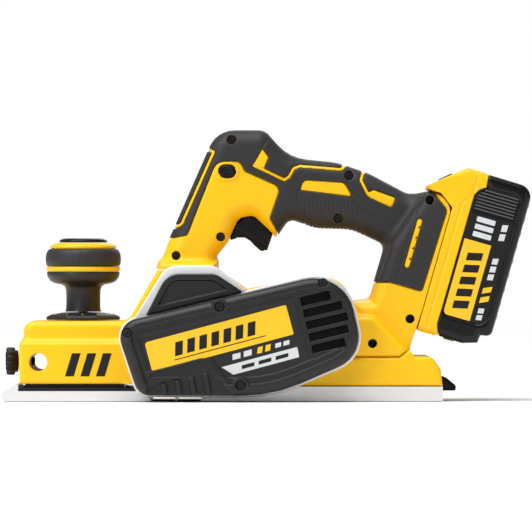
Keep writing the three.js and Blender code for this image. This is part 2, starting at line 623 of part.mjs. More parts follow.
function cellBlock() {
  const cells = [14.6, 33.4].flatMap((x) => [3.5, 22.5, 41.5, 60.5, 79.5].map((z) => bar(9.1, -32.5, 32.5, x, z, 8)));
  return piece("cell_block", join(block(6, 42, -2, 2, -4, 88), ...cells), black);
}

function batteryPack() {
  const pack = groupAt(RAIL.x, RAIL.z, upperShell(), lowerShell(), cellBlock(), packLatch(), gaugeButton());
  pack.rotation.y = RAIL.tilt;
  return pack;
}

// ---- The planer ----

const planer = new THREE.Group();
planer.add(
  rearShoe(), frontShoe(), shoeCarriage(), baseFrame(),
  kickstand(), piece("kickstand_pin", bar(1.6, -16.5, 16.5, STAND.x, STAND.z, 12), steel),
  chipDuct(), chuteCap(),
  sidePlate(), beltCover(), driveBelt(), drumGroup(), drumBearings(),
  motorGroup(), motorFixedGroup(),
  housingGroup(), ...screws(),
  trigger(), lockOffButton(), ...electrics(),
  depthKnob(), shoeSpring(), fenceScrew(),
  batteryPack(),
);

export default planer;
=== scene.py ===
"""Cordless hand planer: its visible shells, trim, materials, light and camera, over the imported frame.

Lengths are in millimetres until a mesh is made, which is in metres. The shells are signed distance fields
(negative inside), sampled on a grid and turned into smooth closed meshes.
"""

import math

import bmesh
import bpy
import numpy as np
import openvdb
from mathutils import Matrix, Vector


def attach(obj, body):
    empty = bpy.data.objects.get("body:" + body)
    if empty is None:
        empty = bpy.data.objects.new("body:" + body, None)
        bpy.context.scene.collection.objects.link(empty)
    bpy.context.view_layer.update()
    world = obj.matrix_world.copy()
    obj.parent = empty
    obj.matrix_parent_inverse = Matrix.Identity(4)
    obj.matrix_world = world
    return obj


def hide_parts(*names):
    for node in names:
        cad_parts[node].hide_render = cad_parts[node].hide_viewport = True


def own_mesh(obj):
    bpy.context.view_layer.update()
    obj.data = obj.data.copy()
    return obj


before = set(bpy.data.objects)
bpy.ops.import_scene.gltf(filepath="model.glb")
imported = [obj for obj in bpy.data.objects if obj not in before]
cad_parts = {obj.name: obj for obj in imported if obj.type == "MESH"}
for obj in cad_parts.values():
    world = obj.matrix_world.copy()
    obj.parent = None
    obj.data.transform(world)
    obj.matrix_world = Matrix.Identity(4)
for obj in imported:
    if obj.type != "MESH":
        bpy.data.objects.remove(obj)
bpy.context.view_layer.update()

MM = 0.001
VOXEL = 0.62  # of the shells' grids
FINE = 0.45  # of the grids of small pieces

# ---- Driving dimensions, as in the CAD ----

SIDE = 46
GRIP_HALF = 18.5
COLUMN_HALF = 36
SCREW_HOLE = 3.0
RUBBER_SKIN = {"depth": 1.6, "proud": 0.45}  # of the rubber moulded over the yellow shells
DRUM = {"x": -58.4, "z": 23.6, "chamber": 26}
MOTOR = {"x": 30.7, "z": 52.8}
KNOB_X = -121.8
FENCE_BORE = {"x": -150.2, "z": 25.7, "radius": 5.9}
# The cover's rim, tray and window are sunk below its face by these depths, and its hollow starts behind them.
COVER = {
    "face": -70, "back": -50.3, "tilt": math.radians(13.3),
    "rim": 2.2, "tray": 3.1, "window": 3.6, "pocket": 3.4, "hollow": 4.7,
}
LABEL = {"at": (-30.7, 41.6), "tilt": math.radians(15)}
STAND_HALF = 11
SIDES = ((-1, "left"), (1, "right"))
RAIL = {"x": 103, "z": 58.8, "tilt": math.radians(16)}
PACK_HALF = 37
PACK_LABEL_SINK = 1.2
LATCH = {"x": -8.6, "z": 90.2, "tilt": math.radians(-41)}

# ---- Outlines in the side view, as corners (x, z, radius) ----

HEAD_LOWER = [(-162.7, 11.3), (-86, 11.3), (-86, 39.6), (-162.7, 39.6, 2)]
HEAD_UPPER = [(-160, 30), (-86, 30), (-86, 52.8), (-160, 52.8, 7)]
CHUTE_BLOCK = [
    (-92.5, 11.3), (-80, 9.9), (-12.4, 9.9), (-12.4, 73.6), (-32.5, 87, 9), (-71.2, 87, 1.5), (-92.5, 50),
]
REAR_BASE = [
    (-45, 9.9), (116.5, 9.9), (115.3, 21, 5), (109.5, 29.4, 7), (98.6, 29.4), (94.2, 33.6), (88, 28.9),
    (-45, 28.9),
]
CHANNEL = [(-72, 51, 6), (-17, 51, 6), (-17, 69, 7), (-38, 83.5, 9), (-59, 83.5, 9)]
COVER_OUTLINE = [(-99.4, 51.1, 13), (-83.7, 4.3, 10), (4, 3.8, 100), (64.5, 30, 22), (51.5, 86.6, 27)]
PLATE_RIM = [(-101, 51.9, 14), (-84.9, 2.7, 11), (4.4, 2.2, 100), (66.4, 29, 23), (52.9, 88.6, 28)]
PLATE_HUMP = [(-13.2, 73.1), (-33.5, 89.4, 12), (-65.6, 89.4, 14), (-88, 52.8), (-60, 40)]
CAP_OUTLINE = [(-79.2, 56.4), (-14.5, 71.7, 1), (-33.2, 83.9, 9), (-65, 83.9, 13)]
HANDLE = [
    (-74.2, 80), (-33.2, 80), (-33.2, 95, 6), (-25, 105.2), (-18, 120.5, 6), (-8.5, 122.5, 6), (6.5, 108.2),
    (15.5, 121, 6), (33, 114.8, 20), (57, 114, 25), (80.3, 103.2, 7), (70, 66, 8), (58.4, 65, 8), (56, 40),
    (90, 40), (122.5, 127, 8), (115.4, 137, 8), (93.5, 136.8, 10), (68, 150.4, 50), (47, 157.5, 40),
    (15.3, 160.6, 30), (-1, 179, 9), (-32.5, 179, 18), (-64.5, 106, 60),
]
COLUMN = [
    (88.2, 29.2), (94.6, 33.9), (103, 58.8), (122.57, 127.05, 9), (115.4, 137.2, 9), (97, 137.4, 9),
    (83, 104), (70.5, 65), (58, 65), (58, 29.2),
]
MOTOR_BODY = [
    (-12, 29.2), (88.2, 29.2), (94, 33.9), (71, 56, 8), (59.5, 56, 4), (50, 83.6, 27), (-12, 74),
]
RISER_SEAM = 87.3  # the height where the handle's front leg meets the base
RISER_FOOT = [(-73.4, 80), (-33.2, 80), (-32.8, 91.5), (-70.4, 91.5)]
TRIGGER = [
    (-24.6, 105.9, 1), (-15, 109.2, 9), (-3.4, 99, 2), (0.8, 99.4, 1.5), (4.6, 110.6), (-3, 120.6, 2),
    (-12, 124.4, 2), (-20.6, 118.2, 2),
]
STAND_OUTLINE = [
    (102, 10.2, 3), (115.5, 6.2), (126, 6.2, 1), (126.6, 9.5, 4), (119.5, 15.2, 5), (110, 17.6, 3),
    (102, 17.6, 3),
]
GRIP_AREA = [
    (-80, 104.5), (-52.3, 109.5, 2), (-33, 158.5, 8), (-17, 158.5, 6), (-14.2, 152, 3), (9.8, 141.3, 5),
    (2.6, 120.5, 3), (7.6, 112), (8, 98), (60, 78.2), (82.3, 78.2, 3), (103, 72.2, 2), (119.8, 126, 4),
    (112, 136.2), (107, 150), (-20, 200), (-90, 200),
]
# What shows yellow through the rubber: closed panels, and lines (points, half width).
GRIP_PANELS = [
    [(-2.5, 166.8), (1.8, 161.4, 1), (-1.2, 154), (-8.4, 156.6)],
    [(22.4, 139.5, 1), (25.2, 146.2, 3.5), (52, 144.4, 4.5), (57.2, 135.2, 1)],
    [(66.6, 137.4), (71.4, 139.6, 2), (86, 134.3, 1), (83.6, 127.6, 2), (68.4, 134.6)],
]
GRIP_LINES = [
    ([(-38.5, 166.5), (-34.7, 164.8), (-55.8, 117.3), (-58.2, 115.6), (-62, 114.8)], 1.0),
    ([(-8.2, 155.8), (2.5, 150.9), (12.2, 146.2), (15.4, 148.4), (18.4, 153.8), (22.6, 155.4),
      (49.4, 153.2), (51.2, 154), (52.6, 157.5)], 1.05),
    ([(65, 152.4), (63, 146), (67.6, 136.8)], 1.05),
    ([(101.6, 118.6), (93.2, 89.6)], 1.8),
]
# Seams in the rubber, and the ribbed area under the palm.
GRIP_SEAMS = [
    [(106.7, 138.3), (99.8, 127.4), (86.7, 80)],
    [(22.2, 139.1), (20.5, 134.6), (21.7, 130.4), (25.9, 125.4), (25.5, 116)],
    [(57, 135.4), (59.1, 132.1), (64.9, 126.3), (77.3, 120.5)],
    [(1.2, 173.5), (-1.6, 168.6), (-2.4, 166.6)],
]
PALM = [
    (22.4, 138.6), (20.9, 134.4), (22.1, 130.2), (26.3, 125.6), (25.9, 108), (62, 104), (80, 117),
    (64.6, 126), (58.8, 131.8), (56.6, 135),
]
BUTTON_OVAL = [(-27.2, 152), (-24.3, 152)]  # the middle line of the lock-off button's oval
# The battery's two shells, in the rail's frame.
UPPER_SHELL = [
    (0.4, -12.6, 2), (14.6, -12.6, 2), (12, -5), (12, 84), (14.8, 88.8, 2), (18.4, 90.6, 1), (17.5, 100, 3),
    (3, 100, 6), (-18.8, 82), (-18.8, 79.2), (-9.4, 79), (0.4, 71.7),
]
LOWER_SHELL = [
    (15.2, -12.2), (31, -12.6), (41, -9.5), (41.5, -4.2), (48.6, -3, 9), (48.6, 99, 9), (17.9, 99.6),
    (18.8, 90.4), (15.2, 88.5), (12.4, 83.8), (12.4, -5),
]
HOUSING_SCREWS = [
    (-22.8, 173), (-30.1, 108.5), (-59.7, 96), (55.2, 149.1), (48, 120.8), (108.4, 132.6), (95.2, 54.1),
    (70.2, 38),
]
COVER_SCREWS = [(-30.4, 62.4), (-16.6, 10.9), (37.5, 78.3), (-91, 45.3)]


# ---- Outlines ----


def rounded(corners):
    """The points of an outline, with its corners rounded by arcs of about 12 degrees a step."""
    points = []
    for i, corner in enumerate(corners):
        here = Vector(corner[:2])
        if len(corner) < 3:
            points.append(here)
            continue
        back = Vector(corners[i - 1][:2]) - here
        on = Vector(corners[(i + 1) % len(corners)][:2]) - here
        room = 0.49 * min(back.length, on.length)
        half = back.angle(on) / 2
        radius = min(corner[2], room * math.tan(half))
        centre = here + (back.normalized() + on.normalized()).normalized() * (radius / math.sin(half))
        spoke = here + back.normalized() * (radius / math.tan(half)) - centre
        sweep = (math.pi - 2 * half) * (1 if on.cross(back) > 0 else -1)
        steps = max(2, math.ceil(abs(sweep) / 0.2))
        for step in range(steps + 1):
            points.append(centre + Matrix.Rotation(sweep * step / steps, 2) @ spoke)
    return np.array([tuple(point) for point in points])


# ---- Signed distance fields ----


class Grid:
    """A box of sample points between two corners, in millimetres."""

    def __init__(self, low, high, step):
        self.low, self.step = np.array(low, float), step
        x, y, z = (np.arange(a, b + step, step, dtype=np.float32) for a, b in zip(low, high))
        self.x, self.y, self.z = x[:, None, None], y[None, :, None], z[None, None, :]

    def mesh(self, field):
        """Vertices in millimetres and four-sided faces of a field's surface."""
        depth = np.clip(field / self.step, -3, 3).astype(np.float32)
        volume = openvdb.FloatGrid(background=3.0)
        volume.copyFromArray(np.ascontiguousarray(depth), tolerance=1e-4)
        points, quads = volume.convertToQuads(0.0)
        return points * self.step + self.low, quads[:, ::-1]


def to_segments(x, z, points, closed=True):
    """Distance from (x, z) to a chain of points, and whether each (x, z) is inside it if it is closed."""
    nearest = np.full(np.broadcast(x, z).shape, 1e9, np.float32)
    inside = np.zeros(nearest.shape, bool)
    count = len(points)
    for i in range(count if closed else count - 1):
        (ax, az), (bx, bz) = points[i], points[(i + 1) % count]
        ex, ez = bx - ax, bz - az
        along = np.clip(((x - ax) * ex + (z - az) * ez) / max(ex * ex + ez * ez, 1e-9), 0, 1)
        nearest = np.minimum(nearest, (x - ax - along * ex) ** 2 + (z - az - along * ez) ** 2)
        if closed and ez:
            inside ^= ((az > z) != (bz > z)) & (x < ax + (z - az) * ex / ez)
    return np.sqrt(nearest), inside


def outline(x, z, corners):
    distance, inside = to_segments(x, z, rounded(corners))
    return np.where(inside, -distance, distance)


def line(x, z, points, half):
    return to_segments(x, z, np.array(points, float), closed=False)[0] - half


def slab(flat, y, low, high, edge=0.0):
    """A flat outline's field, given thickness between low and high, with its side edges rounded."""
    across = np.abs(y - (low + high) / 2) - (high - low) / 2 + edge
    flat = flat + edge
    outside = np.hypot(np.maximum(flat, 0), np.maximum(across, 0))
    return np.minimum(np.maximum(flat, across), 0) + outside - edge


def flat_at_joint(g, corners, reach, half, edge):
    """A slab with rounded side edges, save where its outline was moved out to reach past a joint."""
    return np.maximum(slab(outline(g.x, g.z, reach), g.y, -half, half, edge), outline(g.x, g.z, corners))


def block(g, low, high, edge=0.0):
    sides = [np.abs(v - (a + b) / 2) - (b - a) / 2 + edge for v, a, b in zip((g.x, g.y, g.z), low, high)]
    outside = np.sqrt(sum(np.maximum(side, 0) ** 2 for side in sides))
    return outside + np.minimum(np.maximum(np.maximum(sides[0], sides[1]), sides[2]), 0) - edge


def rod(g, x, z, radius, low, high):
    """A round bar along y, between low and high."""
    ends = np.abs(g.y - (low + high) / 2) - (high - low) / 2
    return np.maximum(np.hypot(g.x - x, g.z - z) - radius, ends)


def rods(g, places, radius, low, high):
    return np.minimum.reduce([rod(g, x, z, radius, low, high) for x, z in places])


def melt(a, b, k):
    """Both shapes, with a soft inner corner of size k between them."""
    near = np.maximum(k - np.abs(a - b), 0) / k
    return np.minimum(a, b) - near * near * k / 4


def carve(a, b, k=0.8):
    """The first shape without the second, with an edge softened by k."""
    return -melt(-a, b, k)


def common(a, b, k=0.8):
    return -melt(-a, -b, k)


def turned(x, z, about_x, about_z, angle):
    """Coordinates in a frame turned by an angle in the side view."""
    c, s = math.cos(angle), math.sin(angle)
    return (x - about_x) * c + (z - about_z) * s, (z - about_z) * c - (x - about_x) * s


def turn_out(points, frame_of):
    """Moves points from the frame of the rail or the latch to the one that it stands in."""
    c, s = math.cos(frame_of["tilt"]), math.sin(frame_of["tilt"])
    x, z = points[:, 0].copy(), points[:, 2].copy()
    points[:, 0] = frame_of["x"] + x * c + z * s
    points[:, 2] = frame_of["z"] - x * s + z * c


# ---- Materials ----


def material(name, colour, roughness, metallic=0.0, grain=900, bump=0.06, vary=0.08, stretch=(1, 1, 1),
             edge_wear_and_highlight=0.0, shine=0.5):
    """Colour and roughness that vary softly, a fine grain, and convex edges made lighter, partly as wear and
    partly as a painted highlight.
    """
    made = bpy.data.materials.new(name)
    made.use_nodes = True
    nodes, links = made.node_tree.nodes, made.node_tree.links
    shader = nodes["Principled BSDF"]
    shader.inputs["Metallic"].default_value = metallic
    shader.inputs["Specular IOR Level"].default_value = shine
    place = nodes.new("ShaderNodeTexCoord")
    mapping = nodes.new("ShaderNodeMapping")
    mapping.inputs["Scale"].default_value = stretch
    links.new(place.outputs["Object"], mapping.inputs["Vector"])

    def noise(scale, detail):
        node = nodes.new("ShaderNodeTexNoise")
        node.inputs["Scale"].default_value = scale
        node.inputs["Detail"].default_value = detail
        links.new(mapping.outputs["Vector"], node.inputs["Vector"])
        return node.outputs["Fac"]

    cloud = noise(28, 4)
    tint = nodes.new("ShaderNodeMix")
    tint.data_type = "RGBA"
    tint.inputs["A"].default_value = [c * (1 - vary) for c in colour] + [1]
    tint.inputs["B"].default_value = [min(1, c * (1 + vary)) for c in colour] + [1]
    links.new(cloud, tint.inputs["Factor"])
    surface = tint.outputs["Result"]
    # Convex edges, found by pointiness, are made lighter: partly wear, partly a painted highlight.
    if edge_wear_and_highlight:
        geometry = nodes.new("ShaderNodeNewGeometry")
        edge = nodes.new("ShaderNodeMapRange")
        edge.inputs["From Min"].default_value = 0.52
        edge.inputs["From Max"].default_value = 0.62
        edge.inputs["To Max"].default_value = edge_wear_and_highlight
        links.new(geometry.outputs["Pointiness"], edge.inputs["Value"])
        bright = nodes.new("ShaderNodeMix")
        bright.data_type = "RGBA"
        bright.inputs["B"].default_value = [min(1, c * 1.5 + 0.04) for c in colour] + [1]
        links.new(edge.outputs["Result"], bright.inputs["Factor"])
        links.new(surface, bright.inputs["A"])
        surface = bright.outputs["Result"]
    links.new(surface, shader.inputs["Base Color"])
    rough = nodes.new("ShaderNodeMapRange")
    rough.inputs["To Min"].default_value = roughness * 0.85
    rough.inputs["To Max"].default_value = min(1, roughness * 1.15)
    links.new(noise(110, 3), rough.inputs["Value"])
    links.new(rough.outputs["Result"], shader.inputs["Roughness"])
    relief = nodes.new("ShaderNodeBump")
    relief.inputs["Strength"].default_value = bump
    relief.inputs["Distance"].default_value = 0.0004
    links.new(noise(grain, 2), relief.inputs["Height"])
    links.new(relief.outputs["Normal"], shader.inputs["Normal"])
    return made


YELLOW = material("yellow_plastic", (0.93, 0.53, 0.004), 0.36, grain=1500, bump=0.08, vary=0.03, shine=0.3)
BLACK = material("black_plastic", (0.003, 0.003, 0.0034), 0.32, grain=1800, bump=0.14, vary=0.15, edge_wear_and_highlight=0.2,
                 shine=0.22)
CAP_BLACK = material("cap_plastic", (0.008, 0.009, 0.010), 0.38, grain=1800, bump=0.12, vary=0.12, edge_wear_and_highlight=0.2,
                     shine=0.4)
GREY = material("cover_plastic", (0.014, 0.0135, 0.014), 0.4, grain=2000, bump=0.2, vary=0.12, edge_wear_and_highlight=0.3,
                shine=0.35)
RUBBER = material("grip_rubber", (0.026, 0.025, 0.025), 0.5, grain=2400, bump=0.28, vary=0.12, edge_wear_and_highlight=0.12,
                  shine=0.3)
BELT = material("belt_rubber", (0.02, 0.02, 0.02), 0.7, grain=900, bump=0.3)
# Its strong edge lightening is a painted highlight along the battery case's rims and ribs.
GLOSS = material("gloss_plastic", (0.0025, 0.0025, 0.003), 0.2, grain=500, bump=0.03, edge_wear_and_highlight=0.5, shine=0.3)
LABEL_DARK = material("dark_label", (0.007, 0.007, 0.008), 0.36, grain=700, bump=0.02, shine=0.3)
# Mid grey for the battery's ribs: their lighter colour is a painted highlight on their upper edges.
RIB_HIGHLIGHT = material("rib_painted_highlight", (0.09, 0.09, 0.092), 0.3, grain=700, bump=0.02)
LABEL_YELLOW = material("yellow_label", (0.93, 0.53, 0.008), 0.3, grain=700, bump=0.02, vary=0.02)
LABEL_PALE = material("pale_label", (0.66, 0.68, 0.70), 0.34, metallic=0.1, grain=1400, bump=0.05,
                      vary=0.05)
ALUMINIUM = material("machined_aluminium", (0.80, 0.80, 0.805), 0.36, metallic=0.45, grain=700, bump=0.12,
                     stretch=(0.06, 1, 1), vary=0.05)
PLATE = material("side_plate_finish", (0.78, 0.79, 0.81), 0.36, metallic=0.2, grain=1200, bump=0.05,
                 vary=0.04)
# Near black and rough, for the sheet behind the louvres: painted shade, so that the slots read dark.
SHADE = material("vent_painted_shade", (0.003, 0.003, 0.003), 0.8, grain=1200, bump=0.5, shine=0.1)
STEEL = material("turned_steel", (0.50, 0.51, 0.53), 0.3, metallic=1.0, grain=900, bump=0.08,
                 stretch=(1, 0.1, 1))
DARK_STEEL = material("blackened_screw", (0.01, 0.01, 0.011), 0.3, metallic=0.4, grain=900, bump=0.08,
                      edge_wear_and_highlight=0.3)
COPPER = material("copper_winding", (0.75, 0.33, 0.14), 0.36, metallic=1.0, grain=300, bump=0.5,
                  stretch=(1, 0.05, 1))
WRAP = material("cell_wrap_finish", (0.03, 0.10, 0.25), 0.35, grain=200, bump=0.05)


# ---- Making pieces ----


def piece(name, points, faces, finish, body, slot, replaced=()):
    """A piece from points in millimetres and an array of four-sided faces."""
    mesh = bpy.data.meshes.new(name)
    mesh.vertices.add(len(points))
    mesh.vertices.foreach_set("co", (np.asarray(points, np.float32) * MM).ravel())
    count, sides = faces.shape
    mesh.loops.add(count * sides)
    mesh.loops.foreach_set("vertex_index", faces.astype(np.int32).ravel())
    mesh.polygons.add(count)
    mesh.polygons.foreach_set("loop_start", np.arange(0, count * sides, sides, dtype=np.int32))
    mesh.update(calc_edges=True)
    mesh.validate()
    return place(name, mesh, finish, body, slot, replaced)


def place(name, mesh, finish, body, slot, replaced=(), smooth=True):
    """Puts a mesh in the scene, on the body that it rides and in place of the CAD nodes it replaces."""
    mesh.materials.append(finish)
    mesh.polygons.foreach_set("use_smooth", [smooth] * len(mesh.polygons))
    thing = bpy.data.objects.new(name, mesh)
    bpy.context.scene.collection.objects.link(thing)
    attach(thing, body)
    if replaced:
        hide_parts(*replaced)
    return thing


def closed_mesh(name, made):
    """The mesh of a closed bmesh, with its faces pointing out."""
    bmesh.ops.recalc_face_normals(made, faces=made.faces)
    mesh = bpy.data.meshes.new(name)
    made.to_mesh(mesh)
    made.free()
    return mesh


def shell(name, g, field, finish, body, slot, replaced=(), frames=()):
    """The surface of a field, turned out of the frames that it is drawn in."""
    points, quads = g.mesh(field)
    for frame_of in frames:
        turn_out(points, frame_of)
    piece(name, points, quads, finish, body, slot, replaced)


def edged(thing, width):
    """Rounds a piece's sharp edges and shades it smooth between them."""
    bevel = thing.modifiers.new("edges", "BEVEL")
    bevel.width = width * MM
    bevel.segments = 3
    bevel.limit_method = "ANGLE"
    bevel.angle_limit = math.radians(30)
    bevel.harden_normals = True


def dress(node, finish, width=0.0):
    """A CAD node that stays: its finish, and softer edges where a width is given."""
    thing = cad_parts[node]
    if not thing.material_slots:
        thing.data.materials.append(finish)
    thing.material_slots[0].link = "OBJECT"
    thing.material_slots[0].material = finish
    if width:
        edged(thing, width)


def lathe(name, profile, centre, finish, body, slot, replaced, sides=96, axis="Z", ripple=None):
    """A turned piece. Its profile is (radius, height) points and ripple scales a radius round the axis."""
    points, faces = [], []
    for step in range(sides):
        angle = 2 * math.pi * step / sides
        for radius, height in profile:
            r = radius * (ripple(angle, height) if ripple else 1)
            a, b = r * math.cos(angle), r * math.sin(angle)
            spot = (a, b, height) if axis == "Z" else (height, a, b)
            points.append([p + c for p, c in zip(spot, centre)])
    rows = len(profile)
    for step in range(sides):
        for i in range(rows - 1):
            a, b = step * rows + i, ((step + 1) % sides) * rows + i
            faces.append((a, b, b + 1, a + 1))
    thing = piece(name, points, np.array(faces), finish, body, slot, replaced)
    made = bmesh.new()
    made.from_mesh(thing.data)
    bmesh.ops.remove_doubles(made, verts=made.verts, dist=1e-6)
    bmesh.ops.recalc_face_normals(made, faces=made.faces)
    made.to_mesh(thing.data)
    made.free()


# ---- Housing ----


def housing_holes(g):
    """What is cut out of the shells and the rubber alike."""
    holes = rod(g, MOTOR["x"], MOTOR["z"], 22.6, -50, 41.4)
    holes = np.minimum(holes, rods(g, HOUSING_SCREWS, SCREW_HOLE, -60, -8))
    path = outline(g.x, g.z, TRIGGER) - 0.6
    for travel in (2.5, 5, 7.4):
        path = np.minimum(path, outline(g.x - 0.25 * travel, g.z - 0.97 * travel, TRIGGER) - 0.6)
    holes = np.minimum(holes, slab(path, g.y, -9.7, 9.7))
    holes = np.minimum(holes, line(g.x, g.z, BUTTON_OVAL, 4.5))
    # The battery's rail, its lips and the room for its terminals.
    along, up = turned(g.x, g.z, RAIL["x"], RAIL["z"], -RAIL["tilt"])
    for low, high in (((-7, -24, 6), (10, 24, 120)), ((-5.2, -27, 6), (-2.3, 27, 120)),
                      ((-14, -14.5, 10), (-5, 14.5, 40))):
        sides = [np.abs(v - (a + b) / 2) - (b - a) / 2 for v, a, b in zip((along, g.y, up), low, high)]
        holes = np.minimum(holes, np.maximum(np.maximum(sides[0], sides[1]), sides[2]))
    return holes


def housing_form(g):
    """The handle, the column behind it and the motor's body, before anything is cut from them."""
    handle = slab(outline(g.x, g.z, HANDLE), g.y, -GRIP_HALF, GRIP_HALF, 11)
    # The column's sides run flat to the battery.
    reach = [(a + 10 if a > 94 else a, *rest) for a, *rest in COLUMN]
    column = flat_at_joint(g, COLUMN, reach, COLUMN_HALF, 7)
    motor = slab(outline(g.x, g.z, MOTOR_BODY), g.y, -SIDE, SIDE, 4)
    foot = slab(outline(g.x, g.z, RISER_FOOT), g.y, -28, 28, 5)
    form = melt(melt(melt(handle, column, 7), motor, 3), foot, 6)
    return np.maximum(form, np.minimum(RISER_SEAM - g.z, -25 - g.x))


def housing():
    g = Grid((-90, -49, 26), (127, 49, 182), VOXEL)
    form = housing_form(g)
    holes = housing_holes(g)
    area = outline(g.x, g.z, GRIP_AREA)
    shown = np.minimum.reduce([outline(g.x, g.z, panel) for panel in GRIP_PANELS])
    for points, half in GRIP_LINES:
        shown = np.minimum(shown, line(g.x, g.z, points, half))
    soft = np.maximum(area, -shown) + 0 * g.y
    yellow_shells(g, form, holes, area, soft)
    rubber_skin(g, form, holes, soft)
    strip_notch_shades()


def yellow_shells(g, form, holes, area, soft):
    """The shells, with the seam between the halves, the button's rim and the vents."""
    rim = slab(line(g.x, g.z, BUTTON_OVAL, 6.4), g.y, -GRIP_HALF - 0.9, GRIP_HALF + 0.9, 0.8)
    hard = melt(form, rim, 1.0)
    for step in (-12, -6, 0, 6, 12):
        level = MOTOR["z"] + 1.3 * step
        vent = block(g, (MOTOR["x"] - 13, 40, level - 2), (MOTOR["x"] + 13, 50, level + 2))
        hard = carve(hard, vent, 0.6)
    seam = np.maximum(np.abs(g.y) - 0.3, -form - 0.9)
    edge = np.maximum(np.abs(area) - 0.35, -form - 0.8)
    hard = carve(carve(hard, seam, 0.4), edge, 0.4)
    under_rubber = np.maximum(soft - 0.1, -form - RUBBER_SKIN["depth"])
    hard = np.maximum(carve(hard, under_rubber, 0.4), -holes)
    shell("housing_shells", g, hard, YELLOW, "body", "yellow_plastic", ("housing_left", "housing_right"))


def rubber_skin(g, form, holes, soft):
    """Rubber that stands a little proud. It is ribbed under the palm and parted by seams."""
    proud = form - RUBBER_SKIN["proud"]
    ribbed = np.clip(-outline(g.x, g.z, PALM) / 2.5, 0, 1)
    proud = proud + 0.22 * ribbed * np.sin((g.x + 0.12 * g.z) * 2 * math.pi / 2.6)
    gap = np.minimum.reduce([line(g.x, g.z, seam, 0.4) for seam in GRIP_SEAMS])
    proud = carve(proud, np.maximum(gap, -proud - 0.6), 0.4)
    behind = form + RUBBER_SKIN["depth"] - 0.3
    rubber = np.maximum(common(proud, soft + 0.2, 0.7), -np.minimum(holes, behind))
    shell("grip_mouldings", g, rubber, RUBBER, "body", "grip_rubber", ("grip_left", "grip_right"))


def strip_notch_shades():
    """Dark marks on the yellow strip at the column: painted shade in place of four small notches."""
    (top_x, top_z), (low_x, low_z) = GRIP_LINES[3][0]
    for side, word in SIDES:
        for step in range(4):
            share = 0.12 + 0.24 * step
            x, z = top_x + (low_x - top_x) * share, top_z + (low_z - top_z) * share
            y = side * COLUMN_HALF
            tick = [(x - 0.2, z - 0.7), (x + 1.1, z - 1.1), (x + 1.5, z + 0.9)]
            panel(f"strip_notch_shade_{word}_{step + 1}", tick, y + side * 0.25, y - side * 0.3, LABEL_DARK, "body",
                  "black_plastic", edge=0)


# ---- Base ----


def base_form(g):
    """The head, the block round the cutter and the rear base, before anything is cut from them."""
    lower = slab(outline(g.x, g.z, HEAD_LOWER), g.y, -SIDE, SIDE, 3.2)
    upper = slab(outline(g.x, g.z, HEAD_UPPER), g.y, -42, 42, 5)
    chute = slab(outline(g.x, g.z, CHUTE_BLOCK), g.y, -SIDE, SIDE, 2.5)
    rear = slab(outline(g.x, g.z, REAR_BASE), g.y, -SIDE, SIDE, 3)
    form = np.minimum(melt(melt(lower, upper, 4), chute, 5), rear)
    # The soft joints must not swell out past the flat sides, or down to where the front shoe rises.
    underside = 11.3 - 1.4 * np.clip((g.x + 92.5) / 12.5, 0, 1)
    form = np.maximum(form, np.maximum(np.abs(g.y) - SIDE, underside - g.z))
    boss = np.maximum(np.hypot(g.y, g.z - FENCE_BORE["z"]) - 6.6, np.abs(g.x + 162) - 2.7)
    form = melt(form, boss, 1.5)
    groove = np.maximum(np.maximum(np.abs(g.z - 38.6) - 0.45, -form - 0.5), g.x + 93)
    return carve(form, groove, 0.5)


def base():
    g = Grid((-170, -49, 7), (120, 49, 90), VOXEL)
    bore_x, bore_z = FENCE_BORE["x"], FENCE_BORE["z"]
    head = block(g, (-159.5, -41.5, 5), (-93, 41.5, 36))
    head = np.minimum(head, block(g, (-152, -36, 35), (-97, 36, 49.5)))
    shape = carve(base_form(g), head, 1.0)
    shape = carve(shape, rod(g, DRUM["x"], DRUM["z"], DRUM["chamber"], -41.6, 41.6), 0.6)
    shape = np.maximum(shape, -slab(outline(g.x, g.z, CHANNEL), g.y, -60, 60))
    shape = np.maximum(shape, -block(g, (-76, -34, 40), (-50, 34, 56)))

    around_bore = rod(g, bore_x, bore_z, 9, -42, 42)
    around_bore = np.minimum(around_bore, block(g, (-160, -8, 18), (bore_x, 8, 33)))
    shape = np.minimum(shape, around_bore)
    shape = carve(shape, rod(g, bore_x, bore_z, FENCE_BORE["radius"], -60, 60), 0.8)
    shank = np.maximum(np.hypot(g.y, g.z - bore_z) - 2.9, g.x - bore_x)
    spindle = np.maximum(np.hypot(g.x - KNOB_X, g.y) - 5.2, 45 - g.z)
    bearings = np.minimum(rod(g, DRUM["x"], DRUM["z"], 11.2, -60, -40),
                          rod(g, DRUM["x"], DRUM["z"], 9.7, 40, 60))
    shape = np.maximum(shape, -np.minimum(np.minimum(shank, spindle), bearings))
    stand = block(g, (98, -STAND_HALF - 0.6, 5), (120, STAND_HALF + 0.6, 24))
    shape = carve(shape, stand, 0.8)
    shell("base_casting", g, shape, YELLOW, "body", "yellow_plastic", ("base_frame",))
    head_stripes()


def head_stripes():
    """Plain slanted stripes on the head's sides."""
    for side, word in SIDES:
        for step in range(3):
            left = -132.5 + 10.2 * step
            panel(f"head_stripe_{word}_{step + 1}", bar_mark(left, left + 5.8, 16.4, 31.6, 4.6),
                  side * (SIDE + 0.2), side * (SIDE - 0.3), LABEL_DARK, "body", "black_plastic", edge=0.1)


# ---- Belt cover, side plate, chute cap ----


